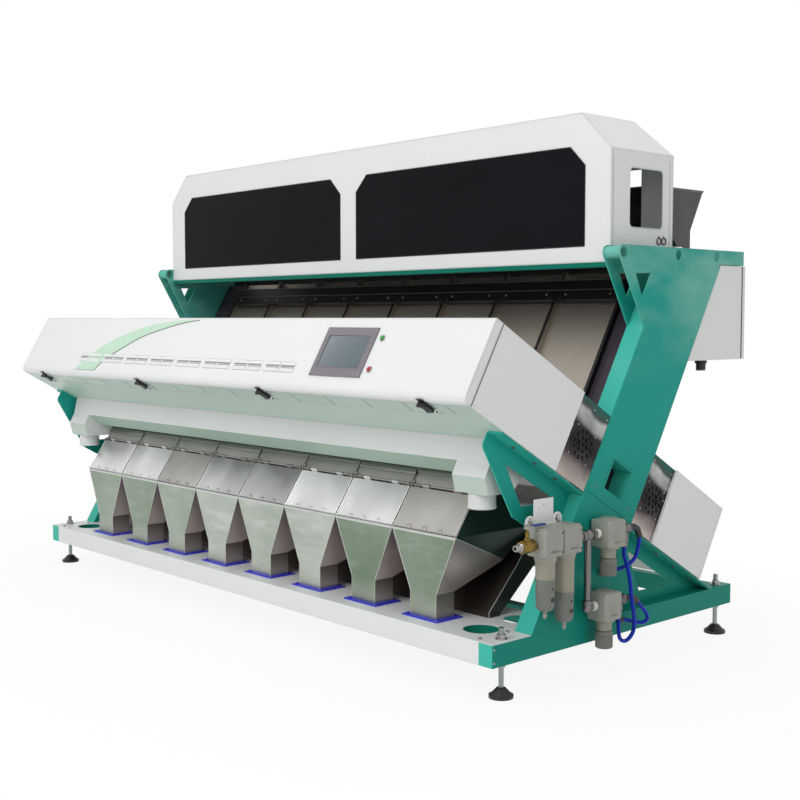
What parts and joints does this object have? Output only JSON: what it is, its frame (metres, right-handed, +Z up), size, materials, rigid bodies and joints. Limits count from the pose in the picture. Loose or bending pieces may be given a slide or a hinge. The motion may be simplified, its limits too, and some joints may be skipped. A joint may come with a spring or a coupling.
{
  "type": "optical colour sorter",
  "caption": "Chute-type optical colour sorter on a green steel frame, with feed hopper, inclined chutes, camera boxes, lidded stainless discharge hoppers and an air unit.",
  "frame": {"origin": "centre of the overall footprint at floor level", "axes": "+X along the length towards the air unit, +Y to the rear, +Z up"},
  "size_m": [3.6175, 1.7918, 2.259],
  "materials": {
    "green_paint": "satin teal-green powder coat",
    "white_paint": "satin white powder coat",
    "foot_steel": "blackened steel with a moulded pad",
    "zinc": "bright zinc plate",
    "dark_panel": "gloss black sheet",
    "stainless": "brushed stainless sheet",
    "drive_iron": "dark enamel",
    "chute_steel": "worn bronze-grey steel",
    "black_paint": "black powder coat",
    "screen": "mauve-grey bezel with a slate display",
    "button_green": "gloss green",
    "button_red": "gloss red",
    "camera_body": "dark anodised",
    "light_bar": "diffuser white",
    "clear_glass": "clear pane",
    "manifold": "machined",
    "blue_plastic": "royal blue",
    "air_cast": "light grey paint",
    "bowl_plastic": "warm grey",
    "knob_plastic": "mid grey",
    "pipe_steel": "galvanised",
    "brass": "plain brass",
    "hose_blue": "blue polyurethane"
  },
  "bodies": {
    "frame": {"base_frame": "green_paint", "side_frame_left": "green_paint", "side_frame_right": "green_paint", "column_covers": "green_paint", "top_cross_beams": "green_paint", "front_tray": "white_paint", "hopper_cover": "white_paint", "front_box": "white_paint", "rear_box": "white_paint", "rear_cover": "white_paint", "dust_duct": "white_paint", "power_box": "white_paint", "valve_bracket": "white_paint", "foot_nuts": "zinc", "window_panels": "dark_panel", "feed_hopper": "stainless", "discharge_hoppers": "stainless", "reject_hopper": "stainless", "lid_hinge_rods": "stainless", "side_plates": "stainless", "feeder_drives": "drive_iron", "chute_plates": "chute_steel", "chute_frame": "black_paint", "front_cameras": "camera_body", "front_lights": "light_bar", "front_glass": "clear_glass", "ejector_manifold": "manifold", "spout_flanges": "blue_plastic", "air_unit_heads": "air_cast", "filter_bowls": "bowl_plastic", "air_pipes": "pipe_steel", "ball_valve": "brass", "hose_upper": "hose_blue", "hose_link": "hose_blue", "hose_lower": "hose_blue"},
    "cover": {"front_cover": "white_paint", "touch_screen": "screen"},
    "start_key": {"start_button": "button_green"},
    "stop_key": {"stop_button": "button_red"},
    "feeders": {"feeder_trays": "stainless"},
    "power_door": {"power_box_door": "white_paint"},
    "valve_lever": {"valve_handle": "blue_plastic"},
    "knob_up": {"regulator_knob_upper": "knob_plastic"},
    "knob_low": {"regulator_knob_lower": "knob_plastic"},
    "latch_1": {"cover_latch_1": "black_paint"},
    "latch_2": {"cover_latch_2": "black_paint"},
    "latch_3": {"cover_latch_3": "black_paint"},
    "latch_4": {"cover_latch_4": "black_paint"},
    "lid_1": {"hopper_lid_1": "stainless"},
    "lid_2": {"hopper_lid_2": "stainless"},
    "lid_3": {"hopper_lid_3": "stainless"},
    "lid_4": {"hopper_lid_4": "stainless"},
    "lid_5": {"hopper_lid_5": "stainless"},
    "lid_6": {"hopper_lid_6": "stainless"},
    "lid_7": {"hopper_lid_7": "stainless"},
    "lid_8": {"hopper_lid_8": "stainless"},
    "foot_front_left": {"foot_front_left": "foot_steel"},
    "foot_front_right": {"foot_front_right": "foot_steel"},
    "foot_rear_left": {"foot_rear_left": "foot_steel"},
    "foot_rear_right": {"foot_rear_right": "foot_steel"}
  },
  "joints": [
    {"name": "cover_hinge", "type": "hinge", "parent": "frame", "child": "cover", "pos_m": [-0.04675, -0.69781, 1.40166], "axis": [-1, 0, 0], "range_deg": [0, 75]},
    {"name": "latch_1_flip", "type": "hinge", "parent": "frame", "child": "latch_1", "pos_m": [-1.57175, -0.83424, 1.06935], "axis": [1, 0, 0], "range_deg": [0, 90]},
    {"name": "latch_2_flip", "type": "hinge", "parent": "frame", "child": "latch_2", "pos_m": [-0.55508, -0.83424, 1.06935], "axis": [1, 0, 0], "range_deg": [0, 90]},
    {"name": "latch_3_flip", "type": "hinge", "parent": "frame", "child": "latch_3", "pos_m": [0.46158, -0.83424, 1.06935], "axis": [1, 0, 0], "range_deg": [0, 90]},
    {"name": "latch_4_flip", "type": "hinge", "parent": "frame", "child": "latch_4", "pos_m": [1.47825, -0.83424, 1.06935], "axis": [1, 0, 0], "range_deg": [0, 90]},
    {"name": "start_press", "type": "slide", "parent": "cover", "child": "start_key", "axis": [0, 0.866, -0.5], "range_m": [0, 0.004], "stiffness_N_per_m": 500},
    {"name": "stop_press", "type": "slide", "parent": "cover", "child": "stop_key", "axis": [0, 0.866, -0.5], "range_m": [0, 0.004], "stiffness_N_per_m": 500},
    {"name": "lid_1_hinge", "type": "hinge", "parent": "frame", "child": "lid_1", "pos_m": [-1.33125, -0.54667, 0.7315], "axis": [-1, 0, 0], "range_deg": [0, 60]},
    {"name": "lid_2_hinge", "type": "hinge", "parent": "frame", "child": "lid_2", "pos_m": [-0.96425, -0.54667, 0.7315], "axis": [-1, 0, 0], "range_deg": [0, 60]},
    {"name": "lid_3_hinge", "type": "hinge", "parent": "frame", "child": "lid_3", "pos_m": [-0.59725, -0.54667, 0.7315], "axis": [-1, 0, 0], "range_deg": [0, 60]},
    {"name": "lid_4_hinge", "type": "hinge", "parent": "frame", "child": "lid_4", "pos_m": [-0.23025, -0.54667, 0.7315], "axis": [-1, 0, 0], "range_deg": [0, 60]},
    {"name": "lid_5_hinge", "type": "hinge", "parent": "frame", "child": "lid_5", "pos_m": [0.13675, -0.54667, 0.7315], "axis": [-1, 0, 0], "range_deg": [0, 60]},
    {"name": "lid_6_hinge", "type": "hinge", "parent": "frame", "child": "lid_6", "pos_m": [0.50375, -0.54667, 0.7315], "axis": [-1, 0, 0], "range_deg": [0, 60]},
    {"name": "lid_7_hinge", "type": "hinge", "parent": "frame", "child": "lid_7", "pos_m": [0.87075, -0.54667, 0.7315], "axis": [-1, 0, 0], "range_deg": [0, 60]},
    {"name": "lid_8_hinge", "type": "hinge", "parent": "frame", "child": "lid_8", "pos_m": [1.23775, -0.54667, 0.7315], "axis": [-1, 0, 0], "range_deg": [0, 60]},
    {"name": "feeder_shake", "type": "slide", "parent": "frame", "child": "feeders", "axis": [0, 1, 0], "range_m": [-0.0015, 0.0015], "stiffness_N_per_m": 40000},
    {"name": "power_door_hinge", "type": "hinge", "parent": "frame", "child": "power_door", "pos_m": [-0.04675, 0.87393, 1.652], "axis": [1, 0, 0], "range_deg": [0, 85]},
    {"name": "valve_turn", "type": "hinge", "parent": "frame", "child": "valve_lever", "pos_m": [1.76125, -0.61907, 0.65], "axis": [0, 0, -1], "range_deg": [0, 90]},
    {"name": "knob_up_turn", "type": "hinge", "parent": "frame", "child": "knob_up", "pos_m": [1.76125, -0.14457, 0.44], "axis": [0, 0, 1], "continuous": true},
    {"name": "knob_low_turn", "type": "hinge", "parent": "frame", "child": "knob_low", "pos_m": [1.76125, -0.16457, 0.155], "axis": [0, 0, 1], "continuous": true},
    {"name": "foot_front_left_screw", "type": "slide", "parent": "frame", "child": "foot_front_left", "axis": [0, 0, 1], "range_m": [-0.03, 0]},
    {"name": "foot_front_right_screw", "type": "slide", "parent": "frame", "child": "foot_front_right", "axis": [0, 0, 1], "range_m": [-0.03, 0]},
    {"name": "foot_rear_left_screw", "type": "slide", "parent": "frame", "child": "foot_rear_left", "axis": [0, 0, 1], "range_m": [-0.03, 0]},
    {"name": "foot_rear_right_screw", "type": "slide", "parent": "frame", "child": "foot_rear_right", "axis": [0, 0, 1], "range_m": [-0.03, 0]}
  ]
}
